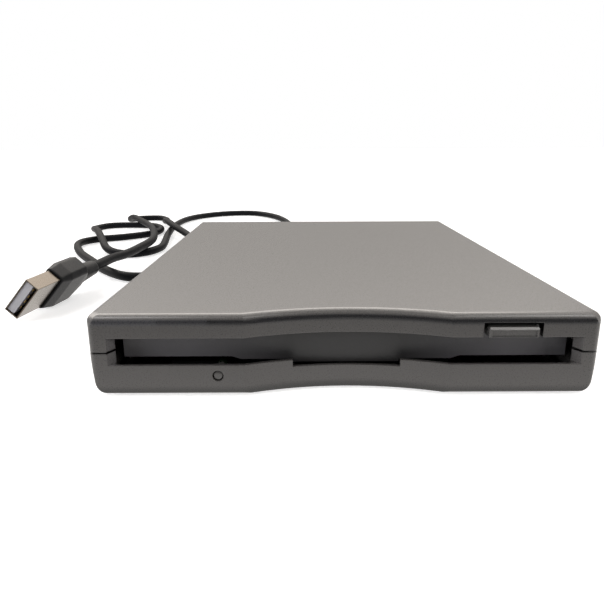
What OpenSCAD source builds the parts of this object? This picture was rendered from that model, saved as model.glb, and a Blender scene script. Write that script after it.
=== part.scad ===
// External disk drive: a slim moulded case in two halves round a half-inch mechanism,
// with a hung flap behind the slot, an eject button and a captive data lead.
// The origin is the centre of the footprint on the table. X runs across the front,
// Y from the front to the rear, and Z up. All sizes are in millimetres.

/* [Case] */
// Width of the case
case_w = 104.4; // [103.8:0.2:110]
// Depth of the case from the front face to the rear face
case_d = 142; // [142:1:150]
// Height of the case without its feet
case_h = 17; // [17:0.5:20]
// Height of the parting line above the underside
part_h = 9; // [8.6:0.1:9.6]
// Thickness of the roof and the floor
wall = 1.5; // [1.2:0.1:1.5]
// Thickness of the side and rear walls
side_wall = 2; // [1.6:0.1:2.2]
// Thickness of the front wall beside the finger recess
front_wall = 2.4; // [2:0.1:2.8]
// Lean of the lower half's sides, in degrees
draft = 7; // [3:0.5:8]
// Width of the dark line between the two halves
seam = 0.3; // [0.1:0.05:0.4]
// Radius of the front corners seen from above
front_corner_r = 1.6; // [1:0.2:3]
// Radius of the ball-like rounding of the front top corners
corner_ball_r = 2.5; // [1.5:0.1:3]
// Radius of the rear corners seen from above
rear_corner_r = 2; // [1:0.5:4]
// Radius of the long top edges
top_edge_r = 1.2; // [0.8:0.1:3]
// Radius of the long bottom edges
bottom_edge_r = 3; // [1.5:0.25:3]
// Radius of the front top edge
front_edge_r = 1.9; // [0.8:0.1:2]

/* [Finger recess] */
// Sideways offset of the recess from the middle of the case
grip_x = 0.8; // [-2:0.1:2]
// Width of the recess across the front face
grip_w = 42.4; // [36:0.2:46]
// Depth of the recess at its middle
grip_depth = 3.9; // [3:0.1:3.9]
// Wall behind the recess
grip_wall = 1.6; // [1.2:0.1:1.6]
// Radius of the top edge along the recess
grip_edge_r = 1.9; // [1:0.1:2.4]
// Width of the notch in the lower lip
notch_w = 22.6; // [18:0.2:26]
// Depth of the notch in the lower lip
notch_h = 1.45; // [0.8:0.05:1.5]

/* [Slot and flap] */
// Width of the slot at the front face
slot_w = 97.2; // [96:0.2:98]
// Height of the slot
slot_h = 5.85; // [5.6:0.05:5.9]
// Height of the lower lip above the underside
slot_lip_h = 6.3; // [6.2:0.05:6.5]
// Thickness of the lower lip at its edge
lip_t = 0.9; // [0.7:0.1:1.2]
// How far each end of the slot closes in behind the front face
mouth_taper = 1.15; // [0.6:0.05:1.3]
// Width of the flap
flap_w = 94.6; // [92:0.2:94.8]
// Thickness of the flap
flap_t = 1; // [0.8:0.1:1.2]
// Gap between the wall behind the recess and the flap
flap_gap = 0.3; // [0.2:0.05:0.4]
// Radius of the flap's hinge pins
flap_pin_r = 0.6; // [0.5:0.05:0.7]
// Depth of the lowest tongue of the flap below the lower lip
flap_tongue = 1.5; // [1:0.1:1.6]

/* [Button and indicator] */
// Width of the eject button
button_w = 10.2; // [9:0.1:10.6]
// Height of the eject button
button_h = 2.1; // [1.9:0.05:2.4]
// Place of the button along the front face
button_x = 34.2; // [33:0.1:36]
// How far the button stands out at rest
button_proud = 0.8; // [0.4:0.1:1.2]
// Travel of the button from out to in
eject_travel = 4.5; // [4:0.1:4.5]
// Radius of the indicator lens
lens_r = 1.1; // [0.9:0.05:1.3]
// Place of the lens along the front face
lens_x = -25.9; // [-30:0.1:-24]
// Height of the lens above the underside
lens_h = 4; // [3.8:0.1:4.4]

/* [Mechanism] */
// Width of the mechanism frame
frame_w = 96; // [96:0.5:97]
// Depth of the mechanism frame
frame_d = 121; // [121:0.5:122]
// Thickness of the frame's sheet
sheet_t = 0.8; // [0.6:0.05:0.8]
// Thickness of the cover, the cage and the slide plate
thin_t = 0.5; // [0.4:0.05:0.5]
// Width of the disk
disk_w = 90; // [90:0.1:90.2]
// Drop of the cage that seats the disk
cage_drop = 1.6; // [1.2:0.1:1.6]
// Radius of the spindle rotor
rotor_r = 19; // [16:0.5:19]
// Radius of the spindle shaft
shaft_r = 2; // [1.6:0.1:2.2]
// Travel of the heads
head_travel = 14.8; // [12:0.1:14.8]
// Tilt of the upper head arm while it is lifted, in degrees
arm_lift = 8; // [7.5:0.1:8]
// Radius of the guide rod
rod_r = 1; // [0.8:0.05:1.1]
// Radius of the lead screw
screw_r = 1; // [0.8:0.05:1.1]
// Radial clearance of what turns or slides on a pin or rod
running_gap = 0.05; // [0.03:0.01:0.08]

/* [Feet and fasteners] */
// Height of the feet below the case
foot_h = 0.8; // [0.5:0.1:1.5]
// Radius of the feet
foot_r = 5; // [4:0.5:6]
// Radius of the screws that hold the mechanism
frame_screw_r = 1.25; // [1:0.05:1.4]
// Radius of the screws that close the case
case_screw_r = 1.1; // [0.9:0.05:1.2]

/* [Lead and plug] */
// Diameter of the lead
lead_d = 3.6; // [3.4:0.1:4.2]
// Place of the lead's exit along the rear face
lead_x = -14; // [-20:1:-8]
// Length of the strain relief behind the case
relief_len = 16; // [12:1:20]
// Width of the plug's metal shell
plug_w = 12; // [12:0.1:12.2]
// Height of the plug's metal shell
plug_h = 4.5; // [4.5:0.1:4.6]
// Length of the shell that stands out of the over-moulding
plug_len = 12.6; // [11.5:0.1:13]
// Width of the over-moulding
mould_w = 15.2; // [14:0.1:16]
// Height of the over-moulding
mould_h = 7.8; // [7:0.1:8.4]
// Length of the over-moulding without its tail
mould_len = 20; // [18:0.5:24]

/* [Hidden] */

$fn = 64;
eps = 0.01;

// Faces of the case
front_y = -case_d / 2;
rear_y = case_d / 2;
base_z = foot_h;
top_z = base_z + case_h;
floor_z = base_z + wall;
roof_z = top_z - wall;
seam_z = base_z + part_h;
half_w = case_w / 2;
inner_x = half_w - side_wall;
inner_rear_y = rear_y - side_wall;
lean = tan(draft) * part_h;

// Finger recess: a round cut whose axis stands in front of the case
grip_r = (pow(grip_w / 2, 2) + pow(grip_depth, 2)) / (2 * grip_depth);
grip_y = front_y + grip_depth - grip_r;

// Slot
slot_z = base_z + slot_lip_h;
slot_top = slot_z + slot_h;
slot_x = 0.15;
slot_back = front_y + grip_depth + grip_wall + 0.1;

// Flap
flap_x = 0.6;
flap_y = front_y + grip_depth + grip_wall + flap_gap + flap_t / 2;
flap_z = slot_top + 0.25;
flap_pin_len = 1.6;
flap_step = 0.65;
ear_t = 1.2;
end_gap = 0.3;

// Button
button_z = slot_top + 0.15;
button_gap = 0.9;
button_top_gap = 0.8;
button_cap = 5.3;
stem_w = 5.4;

// Mechanism levels
frame_z = floor_z + 0.7;
deck_z = frame_z + sheet_t;
frame_y0 = front_y + 9;
frame_y1 = frame_y0 + frame_d;
frame_x = frame_w / 2;
frame_top = deck_z + 9.8;
slide_z = frame_top + end_gap;
cover_z = slide_z + thin_t + 0.6;
cage_rail_z = deck_z + 3.3;
cage_in_h = 4.5;
cage_top_z = cage_rail_z + thin_t + cage_in_h;
cage_x = disk_w / 2 + 0.5;
cage_y0 = frame_y0 + 5.5;
cage_y1 = frame_y0 + 94;
cage_pin_r = 0.7;
cage_pin_y = [frame_y0 + 22, frame_y0 + 74];
cage_pin_z = cage_rail_z + 3.15;
flange_x = cage_x + thin_t + 0.4;
flange_pin_gap = 0.1;
slide_y0 = frame_y0 + 10.5;
slide_y1 = frame_y0 + 90;

// Spindle
spin_y = frame_y0 + 48;
rotor_z = deck_z + 1.2;
rotor_top = deck_z + 2.4;
hub_r = 12;
hub_z = rotor_top + 0.7;
shaft_top = hub_z + 0.7;

// Heads: the carriage at rest is on the outermost track
tower_y0 = cage_y1 + 0.5 + head_travel;
tower_y1 = tower_y0 + 7.2;
tower_x = 6.5;
head_y = tower_y0 - 21.8;
head_len = 4;
tongue_z = deck_z + 0.4;
tongue_t = 1.8;
arm_y = tower_y0 + 3.7;
arm_z = deck_z + 6.8;
rod_x = -11;
rod_z = deck_z + 3.7;
nut_t = 1;
nut_y = tower_y0 + 0.7;
screw_x = 18;
screw_z = deck_z + 4.8;
bracket_y0 = cage_y1 + 0.2;
bracket_y1 = nut_y + nut_t + 0.3;
bracket_t = 0.7;
motor_r = 4.6;

// Shutter lever
lever_x = -41;
lever_y = cage_y1 + 8;
lever_z = deck_z + 5;
lever_len = 25;
lever_rest = -65;
lever_t = 1;

// Boards
board_t = 0.8;
main_z = deck_z + 0.8;
adapter_z = floor_z + 4.2;
adapter_y0 = frame_y1 + 1.2;
adapter_y1 = inner_rear_y - 1.4;
switch_y = frame_y0 + 10;
switch_h = 1.6;
plunger_r = 0.8;
plunger_len = 2.2;

// Fasteners
foot_recess = 0.3;
foot_at = [[-42, -52], [42, -52], [-42, 50], [42, 50]];
case_screw_at = [[-45.5, rear_y - 6], [45.5, rear_y - 6]];

// Lead and plug
relief_r = 3.2;
tail_len = 12;
tail_r = 2.6;
tongue_low = -0.5;
lead_r = lead_d / 2;
lead_z = seam_z;
plug_at = [-90.2, -19.5, 7.3];
plug_turn = [0, -48.7, -6.6];
plug_dir = [sin(6.6), cos(6.6), 0];
tail_end = plug_at + (plug_len + mould_len + tail_len) * plug_dir;
exit_y = rear_y + relief_len + 0.05;
low = lead_r + 0.3;
over = 3 * lead_r + 0.6;

// ---------------------------------------------------------------- shared shapes

// Rectangle from corner to corner, standing between two heights
module block(x0, x1, y0, y1, z0, z1) {
    translate([x0, y0, z0]) cube([x1 - x0, y1 - y0, z1 - z0]);
}

// Cylinder from one height to another
module post(x, y, z0, z1, r) {
    translate([x, y, z0]) cylinder(r = r, h = z1 - z0);
}

// Cylinder along Y from y0 to y1
module rod_y(x, z, y0, y1, r) {
    translate([x, y0, z]) rotate([-90, 0, 0]) cylinder(r = r, h = y1 - y0);
}

// Cylinder along X from x0 to x1
module rod_x(y, z, x0, x1, r) {
    translate([x0, y, z]) rotate([0, 90, 0]) cylinder(r = r, h = x1 - x0);
}

// Flat rectangle with one radius for its lower and one for its upper corners
module rounded_face(x0, x1, y0, y1, r_low, r_high) {
    difference() {
        translate([x0, y0]) square([x1 - x0, y1 - y0]);
        for (c = [[x0, y0, 1, 1, r_low], [x1, y0, -1, 1, r_low],
                  [x0, y1, 1, -1, r_high], [x1, y1, -1, -1, r_high]])
            translate([c[0], c[1]]) difference() {
                translate([min(0, c[2] * c[4]), min(0, c[3] * c[4])]) square(c[4]);
                translate([c[2] * c[4], c[3] * c[4]]) circle(c[4]);
            }
    }
}

// Round wire or lead swept along points: rings stay square to the route
function unit(v) = v / norm(v);
function heading(p, i) = unit(p[min(i + 1, len(p) - 1)] - p[max(i - 1, 0)]);
function side(h) = abs(h[2]) > 0.9 ? unit(cross(h, [1, 0, 0])) : unit(cross(h, [0, 0, 1]));
function ring(p, i, r, n) =
    let (h = heading(p, i), a = side(h), b = cross(h, a))
    [for (k = [0 : n - 1]) p[i] + r * (cos(360 * k / n) * a + sin(360 * k / n) * b)];
module swept(p, r, n) {
    last = len(p) - 1;
    points = [for (i = [0 : last]) each ring(p, i, r, n)];
    walls = [for (i = [0 : last - 1], k = [0 : n - 1])
        let (a = i * n + k, b = i * n + (k + 1) % n) each [[a, a + n, b + n], [a, b + n, b]]];
    first_cap = [for (k = [1 : n - 2]) [0, k, k + 1]];
    last_cap = [for (k = [1 : n - 2]) [last * n, last * n + k + 1, last * n + k]];
    polyhedron(points, concat(walls, first_cap, last_cap));
}

// Coil of wire about +Z that starts at the origin's height
function coil(r, pitch, turns, steps) =
    [for (i = [0 : turns * steps])
        [r * cos(360 * i / steps), r * sin(360 * i / steps), pitch * i / steps]];

// ---------------------------------------------------------------- case

// Outer form of the whole case
module case_form() {
    intersection() {
        translate([0, 0, base_z]) linear_extrude(case_h)
            rounded_face(-half_w, half_w, front_y, rear_y, front_corner_r, rear_corner_r);
        translate([0, rear_y, 0]) rotate([90, 0, 0]) linear_extrude(case_d)
            rounded_face(-half_w, half_w, base_z, top_z, bottom_edge_r, top_edge_r);
        rotate([90, 0, 90]) translate([0, 0, -half_w]) linear_extrude(case_w)
            side_face();
    }
}

// Ball-like rounding of the two front top corners, cut across their diagonals
module corner_cuts() {
    u = -front_corner_r * (sqrt(2) - 1) - corner_ball_r;
    for (a = [-45, 225])
        translate([a < 0 ? half_w : -half_w, front_y, 0]) rotate([0, 0, a]) rotate([90, 0, 0])
            translate([0, 0, -6]) linear_extrude(12) difference() {
                translate([u, top_z - corner_ball_r]) square(corner_ball_r + 2);
                translate([u, top_z - corner_ball_r]) circle(corner_ball_r);
            }
}

// Case seen from the side
module side_face() {
    difference() {
        rounded_face(front_y, rear_y, base_z, top_z, 0.6, 1.5);
        translate([front_y - eps, top_z - front_edge_r]) difference() {
            square(front_edge_r + eps);
            translate([front_edge_r + eps, 0]) circle(front_edge_r);
        }
    }
}

// Leaning sides of the lower half, as wedges to cut away
module draft_wedges() {
    r = bottom_edge_r;
    x = half_w - lean - r * (1 - sin(draft)) / cos(draft);
    for (s = [-1, 1])
        translate([0, rear_y + 1, 0]) rotate([90, 0, 0]) linear_extrude(case_d + 2) {
            polygon([[s * half_w, seam_z], [s * (half_w - lean), base_z],
                     [s * (half_w - lean), base_z - 1], [s * (half_w + 1), base_z - 1],
                     [s * (half_w + 1), seam_z]]);
            difference() {
                translate([s > 0 ? x : -x - r - 1, base_z - 1]) square([r + 1, r + 1]);
                translate([s * x, base_z + r]) circle(r);
            }
        }
}

// Round cut of the finger recess through the full height
module grip_cut(grow) {
    translate([grip_x, grip_y, base_z - 1]) cylinder(r = grip_r + grow, h = case_h + 2, $fn = 180);
}

// Rounding of the top edge along the finger recess
module grip_edge() {
    translate([grip_x, grip_y, top_z - grip_edge_r]) rotate_extrude($fn = 180) difference() {
        translate([grip_r - 1, 0]) square([grip_edge_r + 1, grip_edge_r + 1]);
        translate([grip_r + grip_edge_r, 0]) circle(grip_edge_r);
    }
}

// Hollow inside of the case, which leaves a wall behind the recess
module hollow() {
    difference() {
        block(-inner_x, inner_x, front_y + front_wall, inner_rear_y, floor_z, roof_z);
        grip_cut(grip_wall);
    }
}

// Slot through the front wall, whose ends close in
module slot_cut() {
    x0 = slot_x - slot_w / 2;
    x1 = slot_x + slot_w / 2;
    translate([0, 0, slot_z]) linear_extrude(slot_h)
        polygon([[x0, front_y - 1], [x0, front_y],
                 [x0 + mouth_taper, front_y + front_wall],
                 [x0 + mouth_taper, slot_back], [x1 - mouth_taper, slot_back],
                 [x1 - mouth_taper, front_y + front_wall],
                 [x1, front_y], [x1, front_y - 1]]);
}

// Hole for the strain relief, half in each case half
module relief_hole() {
    rod_y(lead_x, lead_z, inner_rear_y - 1, rear_y + 1, relief_r);
}

module upper_case() {
    color("dimgray") difference() {
        union() {
            difference() {
                intersection() {
                    case_form();
                    block(-half_w, half_w, front_y, rear_y, seam_z + seam / 2, top_z);
                }
                hollow();
                corner_cuts();
            }
            // Screw bosses down to the parting plane
            for (p = case_screw_at) post(p[0], p[1], seam_z, roof_z + eps, 2.4);
            // Ears that carry the flap's pins
            for (s = [-1, 1])
                block(flap_x + s * (flap_w / 2 + end_gap + ear_t / 2) - ear_t / 2,
                      flap_x + s * (flap_w / 2 + end_gap + ear_t / 2) + ear_t / 2,
                      flap_y - 1.3, flap_y + 1.3, flap_z - 1.3, roof_z + eps);
            // Locating lips inside the side walls of the lower half
            for (s = [-1, 1])
                block(s > 0 ? inner_x - 0.9 : -inner_x - eps, s > 0 ? inner_x + eps : -inner_x + 0.9,
                      frame_y0, frame_y1, seam_z + seam / 2, seam_z + 1.5);
            for (s = [-1, 1])
                block(s > 0 ? inner_x - 0.9 : -inner_x + 0.1, s > 0 ? inner_x - 0.1 : -inner_x + 0.9,
                      frame_y0, frame_y1, seam_z - 1.2, seam_z + 1);
        }
        grip_cut(0);
        grip_edge();
        slot_cut();
        // Button opening, which joins the slot
        block(button_x - button_w / 2 - button_gap, button_x + button_w / 2 + button_gap,
              front_y - 1, front_y + front_wall + 1, slot_top - 1, button_z + button_h + button_top_gap);
        rod_x(flap_y, flap_z, -half_w + side_wall - 1, half_w - side_wall + 1,
              flap_pin_r + running_gap);
        for (p = case_screw_at) post(p[0], p[1], seam_z - 1, roof_z - 1.5, case_screw_r);
        relief_hole();
    }
}

module lower_case() {
    color("gray") difference() {
        union() {
            difference() {
                intersection() {
                    case_form();
                    block(-half_w, half_w, front_y, rear_y, base_z, seam_z - seam / 2);
                }
                draft_wedges();
                hollow();
            }
            for (p = case_screw_at) post(p[0], p[1], floor_z - eps, seam_z, 2.4);
            for (p = foot_at) post(p[0], p[1], floor_z - eps, frame_z, 3.4);
            // Seats of the adapter board, with locating pegs
            for (x = [lead_x - 23, lead_x + 41]) {
                post(x, (adapter_y0 + adapter_y1) / 2, floor_z - eps, adapter_z, 2);
                post(x, (adapter_y0 + adapter_y1) / 2, floor_z - eps, adapter_z + board_t + 0.7, 0.9);
            }
        }
        grip_cut(0);
        slot_cut();
        // Step behind the lip, which leaves only a thin edge at the front
        difference() {
            block(slot_x - slot_w / 2 + mouth_taper, slot_x + slot_w / 2 - mouth_taper,
                  front_y + lip_t, slot_back, slot_z - 2.6, slot_z + 1);
            grip_cut(lip_t);
        }
        // Notch in the lower lip
        block(grip_x - notch_w / 2, grip_x + notch_w / 2, front_y - 1, slot_back,
              slot_z - notch_h, slot_z + 1);
        rod_y(lens_x, base_z + lens_h, front_y - 1, front_y + front_wall + 1, lens_r + running_gap);
        for (p = foot_at) {
            post(p[0], p[1], base_z - 1, base_z + foot_recess, foot_r + 0.1);
            post(p[0], p[1], base_z - 1, floor_z - 0.1, frame_screw_r + 1.25);
            post(p[0], p[1], base_z, frame_z + 1, frame_screw_r + 0.1);
        }
        for (p = case_screw_at) {
            post(p[0], p[1], base_z - 1, floor_z + 0.3, case_screw_r + 1.1);
            post(p[0], p[1], base_z, seam_z + 1, case_screw_r + 0.2);
        }
        relief_hole();
    }
}

module rubber_feet() {
    color("black") for (p = foot_at) post(p[0], p[1], 0, base_z + foot_recess, foot_r);
}

module case_screws() {
    color("silver") for (p = case_screw_at) {
        post(p[0], p[1], base_z + 0.5, floor_z + 0.3, case_screw_r + 0.9);
        post(p[0], p[1], floor_z, roof_z - 2.5, case_screw_r);
    }
}

module frame_screws() {
    color("silver") for (p = foot_at) {
        post(p[0], p[1], base_z + foot_recess + 0.2, floor_z - 0.1, frame_screw_r + 1);
        post(p[0], p[1], floor_z - 0.2, deck_z + 0.5, frame_screw_r);
    }
}

// ---------------------------------------------------------------- flap, button, lens

// Flap seen from the front: level ends, a lower middle and a tongue over the notch
module flap_face() {
    x0 = flap_x - flap_w / 2;
    x1 = flap_x + flap_w / 2;
    mid = grip_w / 2 + 1.3;
    tongue = notch_w / 2 + 0.15;
    low_z = slot_z - flap_tongue;
    mid_z = low_z + flap_step;
    end_z = mid_z + flap_step;
    top = flap_z + flap_pin_r;
    notch0 = button_x - button_w / 2 - button_gap - 1;
    notch1 = button_x + button_w / 2 + button_gap + 1;
    polygon([[x0, end_z], [grip_x - mid - 2, end_z], [grip_x - mid, mid_z],
             [grip_x - tongue, mid_z], [grip_x - tongue, low_z],
             [grip_x + tongue, low_z], [grip_x + tongue, mid_z],
             [grip_x + mid, mid_z], [grip_x + mid + 2, end_z], [x1, end_z],
             [x1, top], [notch1, top], [notch1, slot_top - 0.05],
             [notch0, slot_top - 0.05], [notch0, top], [x0, top]]);
}

module slot_flap() {
    x0 = flap_x - flap_w / 2;
    x1 = flap_x + flap_w / 2;
    color("darkslategray") {
        translate([0, flap_y + flap_t / 2, 0]) rotate([90, 0, 0]) linear_extrude(flap_t)
            flap_face();
        rod_x(flap_y, flap_z, x0 - end_gap - flap_pin_len, x0 + 1, flap_pin_r);
        rod_x(flap_y, flap_z, x1 - 1, x1 + end_gap + flap_pin_len, flap_pin_r);
    }
}

// Torsion spring round the end of the flap's left pin, outside its ear
module flap_spring() {
    x = flap_x - flap_w / 2 - end_gap - ear_t - 0.3;
    turns = coil(0.85, -0.3, 2, 12);
    wire = concat([[0.85, -3, 0]], turns, [[0.85, 3, -0.6]]);
    color("silver") translate([x, flap_y, flap_z]) rotate([0, 90, 0]) swept(wire, 0.12, 6);
}

module eject_button() {
    y0 = front_y - button_proud;
    x0 = button_x - button_w / 2;
    x1 = button_x + button_w / 2;
    rim = 0.6;
    color("dimgray") {
        difference() {
            translate([0, y0 + button_cap, 0]) rotate([90, 0, 0]) linear_extrude(button_cap)
                rounded_face(x0, x1, button_z, button_z + button_h, 0.1, 0.4);
            // Face set back inside a rim along the top and the sides
            block(x0 + rim, x1 - rim, y0 - 1, y0 + 0.25, button_z - 1, button_z + button_h - rim);
            // Chamfers along the rim's top and sides
            translate([x0 - 1, y0, button_z + button_h]) rotate([45, 0, 0])
                block(0, button_w + 2, -0.34, 0.34, -0.34, 0.34);
            for (x = [x0, x1])
                translate([x, y0, button_z - 1]) rotate([0, 0, 45])
                    block(-0.22, 0.22, -0.22, 0.22, 0, button_h + 2);
        }
        block(button_x - stem_w / 2, button_x + stem_w / 2, y0 + button_cap - eps,
              slide_y0 - 1.5, slide_z + thin_t, button_z + button_h - 0.2);
    }
}

module indicator_lens() {
    y0 = front_y + front_wall;
    color("gray") {
        rod_y(lens_x, base_z + lens_h, front_y - 0.1, y0, lens_r);
        rod_y(lens_x, base_z + lens_h, y0, y0 + 0.6, lens_r + 0.6);
        rod_y(lens_x, base_z + lens_h, y0, y0 + 3.2, lens_r - 0.15);
    }
}

// ---------------------------------------------------------------- frame and cover

module mechanism_frame() {
    color("lightgray") difference() {
        union() {
            block(-frame_x, frame_x, frame_y0, frame_y1, frame_z, deck_z);
            for (s = [-1, 1])
                block(s > 0 ? frame_x - sheet_t : -frame_x, s > 0 ? frame_x : -frame_x + sheet_t,
                      frame_y0 + 4, frame_y1, frame_z, frame_top);
            block(-frame_x, frame_x, frame_y1 - sheet_t, frame_y1, frame_z, deck_z + 5);
        }
        post(0, spin_y, frame_z - 1, deck_z + 1, 3.2);
        for (p = foot_at) post(p[0], p[1], frame_z - 1, deck_z + 1, frame_screw_r);
        // Way out of the flat cable
        block(-41, -22.4, frame_y1 - 2, frame_y1 + 1, main_z + board_t, deck_z + 6);
    }
}

module mechanism_cover() {
    y0 = slide_y0 - 0.5;
    color("silver") {
        difference() {
            block(-frame_x - thin_t, frame_x + thin_t, y0, frame_y1, cover_z, cover_z + thin_t);
            // Round window over the spindle
            post(0, spin_y, cover_z - 1, cover_z + 1, 14);
        }
        for (s = [-1, 1])
            block(s > 0 ? frame_x : -frame_x - thin_t, s > 0 ? frame_x + thin_t : -frame_x,
                  y0 + 4, frame_y1, seam_z + 1.6, cover_z + thin_t);
    }
}

// ---------------------------------------------------------------- cage and slide

module disk_cage() {
    color("gainsboro") {
        difference() {
            block(-cage_x - thin_t, cage_x + thin_t, cage_y0, cage_y1, cage_top_z,
                  cage_top_z + thin_t);
            // Way of the upper head, open to the rear
            block(-9, 9, spin_y + 18, cage_y1 + 1, cage_top_z - 1, cage_top_z + 1);
            post(0, spin_y, cage_top_z - 1, cage_top_z + 1, 13);
        }
        for (s = [-1, 1]) {
            block(s > 0 ? cage_x : -cage_x - thin_t, s > 0 ? cage_x + thin_t : -cage_x,
                  cage_y0, cage_y1, cage_rail_z, cage_top_z + thin_t);
            block(s > 0 ? cage_x - 5 : -cage_x - eps, s > 0 ? cage_x + eps : -cage_x + 5,
                  cage_y0, cage_y1, cage_rail_z, cage_rail_z + thin_t);
            for (y = cage_pin_y)
                rod_x(y, cage_pin_z, s > 0 ? cage_x : -flange_x - thin_t,
                      s > 0 ? flange_x + thin_t : -cage_x, cage_pin_r);
        }
    }
}

// Sloping slot in a flange of the slide: the cage sinks as the slide comes forward
module ramp_slot(y, s) {
    r = cage_pin_r + flange_pin_gap;
    x0 = s > 0 ? flange_x - 1 : -flange_x - thin_t - 1;
    x1 = x0 + thin_t + 2;
    slope = atan2(cage_drop, eject_travel);
    run = norm([cage_drop, eject_travel]);
    rod_x(y, cage_pin_z, x0, x1, r);
    rod_x(y + eject_travel, cage_pin_z - cage_drop, x0, x1, r);
    translate([x0, y, cage_pin_z]) rotate([-slope, 0, 0]) translate([0, 0, -r])
        cube([x1 - x0, run, 2 * r]);
}

module slide_plate() {
    color("silver") {
        difference() {
            block(-frame_x + 0.3, frame_x - 0.3, slide_y0, slide_y1, slide_z, slide_z + thin_t);
            // Way of the upper head arm, open to the rear
            block(-12, 12, spin_y + 18, slide_y1 + 1, slide_z - 1, slide_z + 1);
            // Lightening windows
            for (x = [-26, 26]) block(x - 10, x + 10, spin_y - 14, spin_y + 26, slide_z - 1, slide_z + 1);
            post(0, spin_y, slide_z - 1, slide_z + 1, 13);
        }
        block(button_x - 3, button_x + 3, slide_y0 - 8.5, slide_y0 + eps, slide_z, slide_z + thin_t);
        for (s = [-1, 1]) difference() {
            block(s > 0 ? flange_x : -flange_x - thin_t, s > 0 ? flange_x + thin_t : -flange_x,
                  slide_y0 + 5, slide_y1 - 8, cage_rail_z - 0.8, slide_z + eps);
            for (y = cage_pin_y) ramp_slot(y, s);
        }
    }
}

// Two extension springs that pull the slide forward, beside the cage's roof
module slide_springs() {
    color("silver") for (x = [-40, 40])
        translate([x, slide_y0 + 3, slide_z - 0.62]) rotate([-90, 0, 0])
            swept(coil(0.45, 0.5, 24, 8), 0.15, 6);
}

// ---------------------------------------------------------------- spindle

module spindle_rotor() {
    color("silver") translate([0, spin_y, 0]) rotate_extrude()
        polygon([[shaft_r, rotor_z], [rotor_r - 1.5, rotor_z], [rotor_r - 1.5, rotor_z - 0.5],
                 [rotor_r, rotor_z - 0.5], [rotor_r, rotor_top], [hub_r, rotor_top],
                 [hub_r, hub_z], [shaft_r, hub_z]]);
}

module spindle_shaft() {
    color("gainsboro") post(0, spin_y, frame_z + 0.1, shaft_top, shaft_r);
}

module drive_pin() {
    color("gold") post(9.2, spin_y, hub_z, shaft_top, 1.3);
}

module spindle_bearing() {
    color("goldenrod") difference() {
        union() {
            post(0, spin_y, frame_z, deck_z + 0.9, 3.2);
            post(0, spin_y, deck_z, deck_z + 0.4, 4.6);
        }
        post(0, spin_y, frame_z - 1, deck_z + 2, shaft_r + running_gap);
    }
}

module stator_coils() {
    color("chocolate") {
        difference() {
            post(0, spin_y, deck_z, deck_z + 0.2, rotor_r - 2);
            post(0, spin_y, deck_z - 1, deck_z + 1, 4.8);
        }
        for (a = [0 : 60 : 300])
            translate([11.5 * cos(a), spin_y + 11.5 * sin(a), deck_z + 0.2 - eps]) difference() {
                cylinder(r = 4.6, h = 0.55);
                translate([0, 0, -1]) cylinder(r = 1.4, h = 3);
            }
    }
}

// ---------------------------------------------------------------- head drive

module stepper_motor() {
    y0 = bracket_y1 + bracket_t;
    color("silver") difference() {
        union() {
            rod_y(screw_x, screw_z, y0, frame_y1 - sheet_t, motor_r);
            block(screw_x + 3, screw_x + 6.5, y0 + 2, y0 + 6, deck_z, deck_z + 3.5);
        }
        rod_y(screw_x, screw_z, y0 - 1, y0 + 3, screw_r + running_gap);
    }
}

module lead_screw() {
    color("gainsboro") {
        rod_y(screw_x, screw_z, bracket_y0 + 0.1, bracket_y0 + bracket_t + 0.2, 0.6);
        rod_y(screw_x, screw_z, bracket_y0 + bracket_t + 0.1, bracket_y1 + bracket_t + 2.5, screw_r);
    }
}

module screw_bracket() {
    color("lightgray") difference() {
        union() {
            block(screw_x - 3, screw_x + 3, bracket_y0, bracket_y0 + bracket_t, deck_z, screw_z + 2);
            block(screw_x - 5, screw_x + 5, bracket_y1, bracket_y1 + bracket_t, deck_z, screw_z + 4);
            block(screw_x - 2.5, screw_x + 2.5, bracket_y0, bracket_y1 + bracket_t, deck_z, deck_z + 0.8);
        }
        rod_y(screw_x, screw_z, bracket_y0 - 1, bracket_y0 + bracket_t + 1, 0.6 + running_gap);
        rod_y(screw_x, screw_z, bracket_y1 - 1, bracket_y1 + bracket_t + 1, screw_r + 0.3);
    }
}

module guide_rod() {
    color("gainsboro") rod_y(rod_x, rod_z, bracket_y0 + 0.3, frame_y1 - sheet_t, rod_r);
}

module rod_bracket() {
    color("lightgray") difference() {
        block(rod_x - 2, rod_x + 2, bracket_y0 + 0.3, bracket_y0 + 1.3, deck_z, rod_z + 1.8);
        rod_y(rod_x, rod_z, bracket_y0 - 1, bracket_y0 + 3, rod_r);
    }
}

module head_carriage() {
    color("ivory") difference() {
        union() {
            // Tongue under the disk
            block(-tower_x, tower_x, head_y - 1, tower_y0 + eps, tongue_z, tongue_z + tongue_t);
            // Tower behind the disk, with the bush of the guide rod beside it
            block(-tower_x, 8, tower_y0, tower_y1, tongue_z, arm_z - 1.4);
            block(rod_x - 3, -tower_x + eps, tower_y0 + 1.9, tower_y1, tongue_z, rod_z + 2);
            // Ears of the arm's pin
            for (x = [-tower_x, tower_x - 1.5])
                block(x, x + 1.5, arm_y - 1.8, arm_y + 1.8, arm_z - 1.5, arm_z + 1.3);
            // Arm of the nut
            block(8 - eps, screw_x - 1.7, nut_y, nut_y + nut_t, screw_z - 1, screw_z + 1);
            rod_y(screw_x, screw_z, nut_y, nut_y + nut_t, screw_r + 1.1);
            // Flag of the track sensor
            block(rod_x - 6.8, rod_x - 3 + eps, tower_y0 + 3.7, tower_y0 + 4.7, deck_z + 1.4, deck_z + 2);
        }
        rod_y(rod_x, rod_z, tower_y0, tower_y1 + 1, rod_r + running_gap);
        rod_y(screw_x, screw_z, nut_y - 1, nut_y + nut_t + 1, screw_r + running_gap);
        rod_x(arm_y, arm_z, -tower_x - 1, tower_x + 1, 0.6);
    }
}

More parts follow.
